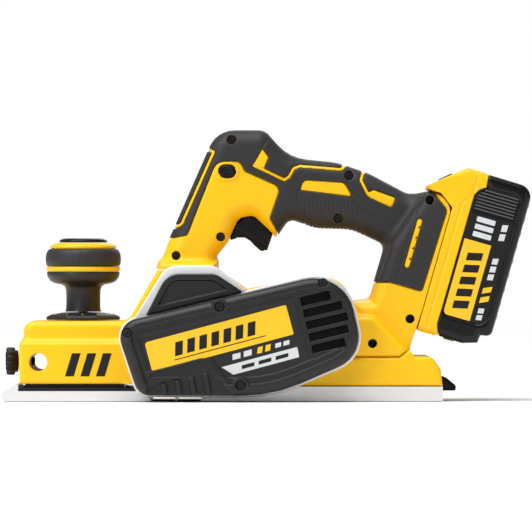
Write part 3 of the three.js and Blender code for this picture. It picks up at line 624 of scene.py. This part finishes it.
def cover_face(g, flat):
    """The cover's outside: a sunk face in two steps, with a louvred window sunk deeper still."""
    face = COVER["face"]
    along, up = turned(g.x, g.z, 0, 0, COVER["tilt"])
    shape = np.maximum(slab(flat, g.y, face, 0, 5.5), g.y - COVER["back"])
    shape = carve(shape, slab(flat + 7.3, g.y, face - 4, face + COVER["rim"], 0.6), 1.2)
    shape = carve(shape, slab(flat + 12, g.y, face - 4, face + COVER["tray"], 0.4), 0.9)
    window = outline(along, up, [(35, 19.5, 3), (63.5, 25, 8), (67.5, 45, 9), (59, 61.5, 7), (34, 61.5, 3)])
    shape = carve(shape, slab(window, g.y, face - 3, face + COVER["window"]), 1.2)
    for step, reach in enumerate((59.5, 63.5, 65, 63, 57)):
        level = 24.6 + step * 8
        louvre = np.abs(up - level - 0.45 * (g.y - face)) - 2.6
        louvre = np.maximum(louvre, np.abs(along - (37.5 + reach) / 2) - (reach - 37.5) / 2)
        shape = carve(shape, louvre, 0.8)

    # Finger fins in a pocket below the label, and the folded line beside them.
    corners = [(-74, 27.5, 2), (-37, 28.5, 3), (-29, 25, 2), (-20, 8), (-24, -6), (-80, -6)]
    pocket = outline(along, up, corners)
    shape = carve(shape, slab(pocket, g.y, face - 4, face + COVER["pocket"], 0.5), 0.8)
    for step in range(4):
        left = -66.5 + 9.4 * step
        corners = [(left, -6), (left + 3.6, -6), (left + 5.4, 27, 1.2), (left + 1.8, 27, 1.2)]
        fin = outline(along, up, corners)
        shape = melt(shape, slab(common(fin, flat + 0.8), g.y, face + 0.2, face + 5, 0.9), 1.0)
    fold = line(g.x, g.z, [(-78, 18.6), (-62, 22.6), (-42.5, 27.8), (-36, 27.4), (-22.5, 8.5)], 0.8)
    return melt(shape, slab(fold, g.y, face + 1.8, face + 5, 0.5), 1.0)


def cover():
    face, back = COVER["face"], COVER["back"]
    g = Grid((-104, face - 2, -1), (69, back + 1, 92), FINE)
    flat = outline(g.x, g.z, COVER_OUTLINE)
    shape = cover_face(g, flat)
    for x, z in COVER_SCREWS[:2]:
        shape = melt(shape, rod(g, x, z, 5.2, face + 0.4, face + 5), 1.2)
    sockets = rods(g, COVER_SCREWS, 3.2, face - 3, face + 8)
    bosses = rods(g, COVER_SCREWS, 4.4, face, back)
    shanks = rods(g, COVER_SCREWS, 1.9, face, back + 3)
    hollow = np.maximum(slab(flat + 3, g.y, face + COVER["hollow"], 0), -bosses)
    shape = np.maximum(shape, -np.minimum(np.minimum(hollow, sockets), shanks))
    shell("belt_cover_shell", g, shape, GREY, "body", "black_plastic", ("belt_cover",))
    # A black sheet behind the louvres: painted shade in the slots.
    shade_sheet = [(33.5, 18.5, 3), (64.5, 24, 8), (68.5, 45, 9), (59, 62.3, 7), (33.5, 62.3, 3)]
    panel("vent_shade_sheet", shade_sheet, face + COVER["hollow"] + 0.02, face + COVER["hollow"] + 0.42, SHADE, "body",
          "black_plastic", edge=0, tilt=COVER["tilt"])


def side_plate():
    """The plate under the cover, with the hump round the cap joined on."""
    g = Grid((-104, -52, 0), (70, -45, 92), FINE)
    flat = np.minimum(outline(g.x, g.z, PLATE_RIM), outline(g.x, g.z, PLATE_HUMP))
    shape = slab(flat, g.y, -50, -SIDE - 0.3, 0.8)
    plug = np.maximum(outline(g.x, g.z, CHANNEL) + 0.4, outline(g.x, g.z, CAP_OUTLINE) + 1)
    bearings = rods(g, [(DRUM["x"], DRUM["z"]), (MOTOR["x"], MOTOR["z"])], 11.2, -60, -40)
    shanks = rods(g, COVER_SCREWS, 1.9, -60, -40)
    shape = np.maximum(shape, -np.minimum(np.minimum(plug, bearings), shanks))
    shell("side_plate_panel", g, shape, PLATE, "body", "silver_plate", ("side_plate",))


def chute_cap():
    """The blanking cap: a sunk face with one slanting ridge, and the plug behind it."""
    g = Grid((-85, -58, 53), (-13, -44.5, 86), FINE)
    flat = outline(g.x, g.z, CAP_OUTLINE)
    shape = slab(flat, g.y, -54.6, -50.3, 1.2)
    shape = carve(shape, slab(flat + 4.4, g.y, -58, -53.2, 0.6), 1.0)
    ridge = line(g.x, g.z, [(-70.5, 59.6), (-26, 72.2)], 0.9)
    shape = melt(shape, slab(ridge, g.y, -54.2, -51, 0.5), 1.2)
    plug = np.maximum(outline(g.x, g.z, CHANNEL) + 0.8, flat + 1.4)
    shape = np.minimum(shape, slab(plug, g.y, -51, -45.6, 0.5))
    shell("chute_cap_moulding", g, shape, CAP_BLACK, "body", "black_plastic", ("chute_cap",))


# ---- Labels: flat panels with plain shapes in place of any words ----


def panel(name, corners, y_out, y_in, finish, body, slot, edge=0.15, tilt=0.0, at=(0, 0)):
    """A thin plate on a side face, from its outline."""
    c, s = math.cos(tilt), math.sin(tilt)
    points = [(at[0] + x * c - z * s, at[1] + x * s + z * c) for x, z in rounded(corners)]
    made = bmesh.new()
    rings = [[made.verts.new((x * MM, y * MM, z * MM)) for x, z in points] for y in (y_out, y_in)]
    made.faces.new(rings[0])
    made.faces.new(rings[1][::-1])
    for i in range(len(points)):
        made.faces.new((rings[0][i - 1], rings[1][i - 1], rings[1][i], rings[0][i]))
    thing = place(name, closed_mesh(name, made), finish, body, slot, smooth=False)
    if edge:
        edged(thing, edge)


def bar_mark(left, right, low, high, lean):
    """The outline of an upright bar whose top leans to the right by a distance."""
    return [(left, low), (right, low), (right + lean, high), (left + lean, high)]


def cover_labels():
    """A yellow plate with plain bars, a row of dashes, and a pale flag."""
    y = COVER["face"] + COVER["tray"]

    def plate(name, corners, proud, finish, slot, edge=0.0):
        panel(name, corners, y - proud, y + 0.3, finish, "body", slot, edge, LABEL["tilt"], LABEL["at"])

    def dark(name, corners, proud):
        plate(name, corners, proud, LABEL_DARK, "black_plastic")

    plate("cover_label", [(-48, -10, 2), (48, -10, 1), (48, 10, 1), (-48, 10, 2)], 0.4, LABEL_YELLOW,
          "yellow_plastic", 0.15)
    for step in range(7):
        left = -31 + 8.2 * step
        dark(f"cover_label_bar_{step + 1}", bar_mark(left, left + 5.2, -3.8, 5, 2.6), 0.5)
    dark("cover_label_line_8", bar_mark(-32, 30, -6.4, -5.8, 0), 0.5)

    dashes = ((4.8, 10.2, -16, -12.4), (12.4, 17.8, -16, -12.4), (33.8, 37.8, -15.6, -12.8),
              (39.4, 43.4, -15.6, -12.8))
    for step, limits in enumerate(dashes):
        plate(f"cover_dash_{step + 1}", bar_mark(*limits, 0.9), 0.2, LABEL_PALE, "silver_plate")
    for step, left in enumerate((21.4, 26.8)):
        plate(f"cover_accent_{step + 1}", bar_mark(left, left + 3.4, -16.2, -12.2, 1.6), 0.2, LABEL_YELLOW,
              "yellow_plastic")
    plate("cover_flag", [(-3.4, -18.6), (48, -18.6, 0.6), (47.6, -25.4, 0.6), (2.9, -25.4)], 0.35,
          LABEL_PALE, "silver_plate", 0.15)
    for step, left in enumerate((9, 20.5, 32)):
        dark(f"flag_dash_{step + 1}", bar_mark(left, left + 8.6, -23.3, -20.9, 0.8), 0.45)


# ---- Trigger, button, stand, clamp screw ----


def trigger():
    g = Grid((-28, -12, 95), (8, 12, 126), FINE)
    shape = slab(outline(g.x, g.z, TRIGGER), g.y, -9, 9, 2.2)
    for level in (102.5, 105.2, 107.9):
        groove = line(g.x, g.z, [(-20, level + 6), (0, level - 6)], 0.3)
        shape = carve(shape, np.maximum(groove, -shape - 0.35), 0.3)
    shell("trigger_lever", g, shape, BLACK, "trigger", "black_plastic", ("trigger",))


def lock_off():
    """A pin right through the handle, thicker inside it and grooved at both ends."""
    g = Grid((-34, -22.5, 145), (-17, 22.5, 159), FINE)
    flat = line(g.x, g.z, BUTTON_OVAL, 3.9)
    shape = slab(flat, g.y, -20.4, 20.4, 1.2)
    shape = np.minimum(shape, slab(flat - 0.4, g.y, -14, 14))
    for side, _ in SIDES:
        for level in (150.4, 152, 153.6):
            groove = line(g.x, g.z, [(-28.4, level), (-23.2, level)], 0.4)
            shape = carve(shape, np.maximum(groove, 20 - side * g.y), 0.3)
    shell("lock_off_pin", g, shape, BLACK, "lock_off", "black_plastic", ("lock_off_button",))


def stand():
    g = Grid((99, -13, 4), (129, 13, 20), FINE)
    shape = slab(outline(g.x, g.z, STAND_OUTLINE), g.y, -STAND_HALF, STAND_HALF, 1.4)
    shape = carve(shape, block(g, (96, -6, 5), (114, 6, 12.5)), 0.8)
    shape = np.maximum(shape, -rod(g, 106, 14, 1.9, -20, 20))
    shell("stand_lever", g, shape, BLACK, "stand", "black_plastic", ("kickstand",))


def clamp_screw():
    def flutes(angle, height):
        return 1 - (0.10 * (0.5 + 0.5 * math.cos(12 * angle)) ** 2 if height < -167 else 0)

    profile = [
        (0, -173.4), (6.2, -173.4), (6.4, -173), (8.6, -173), (9.4, -172.2), (9.4, -168.2), (8.8, -167.4),
        (7.2, -167), (7.2, -165.2), (2.5, -165.1), (2.5, -154), (0, -153.8),
    ]
    lathe("clamp_knob", profile, (0, 0, FENCE_BORE["z"]), BLACK, "fence_clamp", "black_plastic",
          ("fence_clamp_screw",), sides=144, axis="X", ripple=flutes)


# ---- Front knob ----


def knob():
    at = (KNOB_X, 0, 0)
    body = "depth_control"

    def octagon(angle, height):
        turn = (angle + math.pi / 8) % (math.pi / 4) - math.pi / 8
        return 0.98 / math.cos(turn) if height < 58 else 1

    def knurls(angle, height):
        return 1 + (0.006 * (0.5 + 0.5 * math.cos(30 * angle)) if 90 < height < 98 else 0)

    dial = [(4, 53.3), (24.4, 53.3), (24.8, 53.8), (24.6, 55.3), (22, 56.6), (14, 58.1), (4, 58.4), (4, 53.3)]
    lathe("knob_dial", dial, at, GREY, body, "black_plastic", ("depth_dial",), sides=128, ripple=octagon)
    stem = [
        (3.4, 58.7), (12.2, 58.7), (11.8, 59.4), (11.4, 61), (11.3, 67), (11.5, 73), (12.4, 75.6),
        (14.6, 76.9), (19, 77.6), (22, 79.2), (23.8, 81.8), (24.3, 84.6), (23.6, 85.4), (3.4, 85.4),
        (3.4, 58.7),
    ]
    lathe("knob_neck", stem, at, GREY, body, "black_plastic", ("knob_stem",))
    core = [
        (0, 85.5), (23.6, 85.5), (24.6, 86.1), (24.6, 88), (23.6, 88.8), (20, 88.8), (20, 98.4),
        (21.6, 100.9), (22.2, 101.6), (21.2, 103), (18.6, 104.1), (16.2, 104.5), (0, 104.5),
    ]
    lathe("knob_body", core, at, YELLOW, body, "yellow_plastic", ("knob_core",))
    grip = [
        (20.3, 88.9), (23.6, 88.9), (24.6, 89.8), (24.9, 92), (24.9, 95), (24.5, 97.4), (23.6, 99.4),
        (22.4, 100.4), (21.4, 100), (20.3, 97.9), (20.3, 88.9),
    ]
    lathe("knob_band", grip, at, RUBBER, body, "grip_rubber", ("knob_grip",), sides=240, ripple=knurls)
    cap = [
        (0, 104.8), (15.8, 104.8), (16, 105.3), (15.4, 106.5), (13.6, 107.2), (11.4, 107.5), (10.8, 107),
        (0, 107),
    ]
    lathe("knob_button", cap, at, BLACK, body, "black_plastic", ("knob_cap",))


def dial_ticks():
    """Twelve marks on the slope of the dial."""
    for step in range(12):
        made = bmesh.new()
        bmesh.ops.create_cube(made, size=1)
        bmesh.ops.scale(made, verts=made.verts, vec=(2.4 * MM, 0.35 * MM, 0.3 * MM))
        spot = Matrix.Translation((KNOB_X * MM, 0, 0)) @ Matrix.Rotation(2 * math.pi * step / 12, 4, "Z")
        spot @= Matrix.Translation((20.6 * MM, 0, 56.95 * MM)) @ Matrix.Rotation(0.49, 4, "Y")
        made.transform(spot)
        name = f"dial_tick_{step + 1}"
        place(name, closed_mesh(name, made), LABEL_YELLOW, "depth_control", "yellow_plastic", smooth=False)


# ---- Screws ----


def screw_head(name, x, z, top, radius, node):
    """A head with a six-lobed recess, as rings of points from its foot to the recess's bottom."""
    sides = 48
    turns = [2 * math.pi * i / sides for i in range(sides)]
    lobed = [radius * (0.46 + 0.09 * math.cos(6 * turn)) for turn in turns]
    made = bmesh.new()
    rings = []
    for reaches, y in (([radius] * sides, 3), ([radius] * sides, 0.35), ([radius * 0.9] * sides, 0),
                       (lobed, 0), (lobed, 1.4)):
        places = [(x + reach * math.cos(turn), top + y, z + reach * math.sin(turn))
                  for reach, turn in zip(reaches, turns)]
        rings.append([made.verts.new([part * MM for part in spot]) for spot in places])
    for one, two in zip(rings, rings[1:]):
        for i in range(sides):
            j = (i + 1) % sides
            made.faces.new((one[i], one[j], two[j], two[i]))
    made.faces.new(rings[0])
    made.faces.new(rings[-1])
    place(name, closed_mesh(name, made), DARK_STEEL, "body", "steel", (node,), smooth=False)


def screw_heads():
    """The heads at the bottoms of their recesses."""
    for i, (x, z) in enumerate(HOUSING_SCREWS):
        screw_head(f"housing_screw_head_{i + 1}", x, z, -11.4, 2.6, f"housing_screw_{i + 1}")
    for i, (x, z) in enumerate(COVER_SCREWS):
        screw_head(f"cover_screw_head_{i + 1}", x, z, -67.4, 2.9, f"cover_screw_{i + 1}")


# ---- Battery, in the rail's frame ----


def battery_upper():
    """The yellow case, with its tongue for the rail, the slots for the terminals and the latch's pocket."""
    half = PACK_HALF
    g = Grid((-22, -half - 2, -15), (20, half + 2, 103), VOXEL)
    # Each shell's sides run on flat to where the two meet.
    reach = [(a + 8 if a > 11 else a - 8 if a < 1 else a, *rest) for a, *rest in UPPER_SHELL]
    shape = flat_at_joint(g, UPPER_SHELL, reach, half, 4.5)
    shape = np.minimum(shape, block(g, (-6.4, -23.4, 7), (2, 23.4, 69), 0.5))
    shape = np.minimum(shape, block(g, (-4.8, -26.4, 7), (-2.7, 26.4, 69)))
    for y in (-9, -3, 3, 9):
        shape = np.maximum(shape, -block(g, (-9, y - 1.2, 0), (-0.6, y + 1.2, 34)))
    along, up = turned(g.x, g.z, LATCH["x"], LATCH["z"], -LATCH["tilt"])
    pocket = np.maximum(np.maximum(np.abs(along) - 5.6, np.abs(g.y) - 12.6), np.abs(up + 1.5) - 7.5)
    shape = carve(shape, pocket, 0.8)
    crease = line(g.x, g.z, [(5.6, -12), (5.6, 76), (11, 84), (11, 96)], 0.4)
    shape = carve(shape, np.maximum(crease, half - 0.6 - np.abs(g.y)), 0.8)
    shell("battery_upper_case", g, shape, YELLOW, "battery", "yellow_plastic", ("pack_upper_shell",),
          frames=(RAIL,))


def battery_lower():
    """The black case, with a sunk field on each side, ribs on its back and a slot in its lower end."""
    wide = PACK_HALF + 0.4
    g = Grid((10, -wide - 2, -15), (51, wide + 2, 103), VOXEL)
    reach = [(a - 8 if a < 18 else a, *rest) for a, *rest in LOWER_SHELL]
    shape = flat_at_joint(g, LOWER_SHELL, reach, wide, 4.5)
    corners = [(12.9, 1.6, 4), (43, 1.6, 7), (43, 91.5, 7), (19.6, 90.6, 4), (15.6, 87.6), (12.9, 82.5)]
    sunk = outline(g.x, g.z, corners)
    for side, _ in SIDES:
        shape = carve(shape, slab(sunk, side * g.y, wide - PACK_LABEL_SINK, wide + 6, 0.4), 0.9)
    for step in range(9):
        rib = block(g, (47.6, -26, 8 + 9.6 * step), (49.1, 26, 12 + 9.6 * step), 0.6)
        shape = melt(shape, rib, 0.8)
    shape = np.maximum(shape, -block(g, (19, -6.4, -20), (27, 6.4, -8)))
    shell("battery_lower_case", g, shape, GLOSS, "battery", "black_plastic", ("pack_lower_shell",),
          frames=(RAIL,))
    for side, word in SIDES:
        battery_label(side, word, wide - PACK_LABEL_SINK - 0.05)


def battery_label(side, word, y):
    """A dark plate with a yellow field, plain bars, and pale blocks like a charge gauge."""

    def plate(name, corners, proud, finish, slot, edge=0.0):
        panel(f"battery_{name}_{word}", corners, side * (y + proud), side * (y - 0.3), finish, "battery",
              slot, edge, -RAIL["tilt"], (RAIL["x"], RAIL["z"]))

    def band(low, high, left, right, rise, corner=()):
        """A band across the label whose right end stands higher by a rise."""
        return [(left, low, *corner), (right, low + rise, *corner), (right, high + rise, *corner),
                (left, high, *corner)]

    plate("label", [(13.2, 2.4, 3.5), (42.2, 2.4, 6), (42.2, 72.6, 1), (13.2, 72.6, 1)], 0.3, LABEL_DARK,
          "black_plastic", 0.1)
    plate("field", [(13.7, 2.8, 3), (32, 2.8), (32, 54.6), (13.7, 54.6)], 0.5, LABEL_YELLOW,
          "yellow_plastic", 0.1)
    for step in range(5):
        low = 8 + 8.2 * step
        plate(f"bar_{step + 1}", band(low, low + 5.2, 18.4, 28.4, 2.4), 0.6, LABEL_DARK, "black_plastic")
    for step, low in enumerate((57.6, 62.6, 67.6)):
        plate(f"gauge_{step + 1}", band(low, low + 3.4, 18, 30.5, 0, (0.6,)), 0.5, LABEL_PALE,
              "silver_plate")
    dashes = ((4.6, 8), (9.2, 12.6), (32, 36), (37.4, 41.4), (42.8, 46.8), (59, 63.6), (65.2, 69.8))
    for step, (low, high) in enumerate(dashes):
        plate(f"dash_{step + 1}", band(low, high, 35.4, 39.2, 0.8), 0.5, LABEL_PALE, "silver_plate")
    # Raised rib bars: the ribs are real, and their lighter grey is a painted highlight.
    for step in range(7):
        low = 75.2 + 2.2 * step
        left = 14.4 + 0.8 * max(0, low - 84)
        plate(f"rib_{step + 1}", band(low, low + 0.8, left, 41, 0), 0.9, RIB_HIGHLIGHT, "black_plastic", 0.2)
    for step, low in enumerate((16, 22.4)):
        plate(f"accent_{step + 1}", band(low, low + 3.8, 34.6, 40.2, 2.6), 0.5, LABEL_YELLOW,
              "yellow_plastic")


def release_button():
    g = Grid((-7, -14, -7), (7, 14, 4), FINE)
    shape = block(g, (-5, -12, -5), (5, 12, 1), 1.2)
    for x in (-2.6, 0, 2.6):
        shape = carve(shape, block(g, (x - 0.5, -9, 0.4), (x + 0.5, 9, 3)), 0.4)
    shell("release_button", g, shape, BLACK, "battery_latch", "black_plastic", ("pack_latch",),
          frames=(LATCH, RAIL))


# ---- CAD nodes that stay, and the spring ----


def metal_and_inner_parts():
    for node in ("rear_shoe", "front_shoe"):
        dress(node, ALUMINIUM, 0.5)
    dress("chip_duct", CAP_BLACK, 0.4)
    for node in ("cutter_drum", "blade_1", "blade_2", "blade_clamp_1", "blade_clamp_2"):
        dress(node, STEEL, 0.15)
    for node in ("drum_pulley", "motor_pulley", "rotor", "drum_bearing_left", "drum_bearing_right",
                 "motor_bearing_left", "motor_bearing_right", "depth_spindle", "kickstand_pin"):
        dress(node, STEEL)
    dress("drive_belt", BELT)
    dress("motor_stator", COPPER)
    for node in ("shoe_carriage", "terminal_block", "switch_module", "cooling_fan"):
        dress(node, BLACK, 0.3)
    dress("controller", ALUMINIUM)
    dress("switch_wires", BELT)
    dress("cell_block", WRAP)
    dress("gauge_button", RUBBER, 0.6)


def shoe_spring():
    """The coil round the depth spindle, as a mesh of its own on the body; on the tool it shortens as the
    front shoe rises.
    """
    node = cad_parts["shoe_spring"]
    coil = node.data.copy()
    coil.transform(node.matrix_world)
    coil.materials.clear()
    thing = place("shoe_spring_coil", coil, STEEL, "body", "steel", ("shoe_spring",))
    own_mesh(thing)


# ---- Floor, light and camera ----


def ground():
    made = bmesh.new()
    bmesh.ops.create_grid(made, x_segments=1, y_segments=1, size=6)
    mesh = bpy.data.meshes.new("floor")
    made.to_mesh(mesh)
    made.free()
    mesh.materials.append(material("studio_floor", (0.97, 0.97, 0.97), 0.9, grain=4, bump=0.01, vary=0.01))
    floor = bpy.data.objects.new("studio_ground", mesh)
    floor.location.z = -0.0004
    bpy.context.scene.collection.objects.link(floor)


def backdrop():
    """White to the camera, and a dimmer fill light to everything else."""
    world = bpy.data.worlds.new("studio")
    world.use_nodes = True
    nodes, links = world.node_tree.nodes, world.node_tree.links
    seen = nodes.new("ShaderNodeLightPath")
    strength = nodes.new("ShaderNodeMapRange")
    strength.inputs["To Min"].default_value = 0.3
    strength.inputs["To Max"].default_value = 1.0
    links.new(seen.outputs["Is Camera Ray"], strength.inputs["Value"])
    links.new(strength.outputs["Result"], nodes["Background"].inputs["Strength"])
    nodes["Background"].inputs["Color"].default_value = (1, 1, 1, 1)
    bpy.context.scene.world = world


def lights():
    """Four soft boxes, and a wide dim sun (size 0) overhead."""
    aim = Vector((0, 0, 0.09))
    for name, spot, size, power in (
        ("top_left", (-0.9, -0.5, 1.1), 0.4, 6.5),
        ("front_left", (-1.3, -1.6, 0.7), 0.5, 6.5),
        ("front_right", (1.5, -1.2, 0.5), 0.4, 2),
        ("behind", (0.3, 1.5, 1.0), 1.0, 5),
        ("overhead", (-0.2, -0.3, 1.5), 0, 2.5),
    ):
        light = bpy.data.lights.new(name, "AREA" if size else "SUN")
        if size:
            light.size = size
        else:
            light.angle = math.radians(50)
        light.energy = power
        lamp = bpy.data.objects.new(name, light)
        lamp.location = spot
        lamp.rotation_euler = (aim - Vector(spot)).to_track_quat("-Z", "Y").to_euler()
        bpy.context.scene.collection.objects.link(lamp)


def camera():
    """A long lens, square on to the left side as in the photo."""
    lens = bpy.data.cameras.new("camera")
    lens.lens = 406
    lens.clip_end = 50
    eye = bpy.data.objects.new("camera", lens)
    eye.location = (0, -4.0, 0.0891)
    eye.rotation_euler = (math.pi / 2, 0, 0)
    bpy.context.scene.collection.objects.link(eye)
    bpy.context.scene.camera = eye
    bpy.context.scene.view_settings.view_transform = "Standard"


ground()
backdrop()
lights()
camera()
housing()
base()
cover()
side_plate()
chute_cap()
cover_labels()
trigger()
lock_off()
stand()
clamp_screw()
knob()
dial_ticks()
screw_heads()
battery_upper()
battery_lower()
release_button()
metal_and_inner_parts()
shoe_spring()
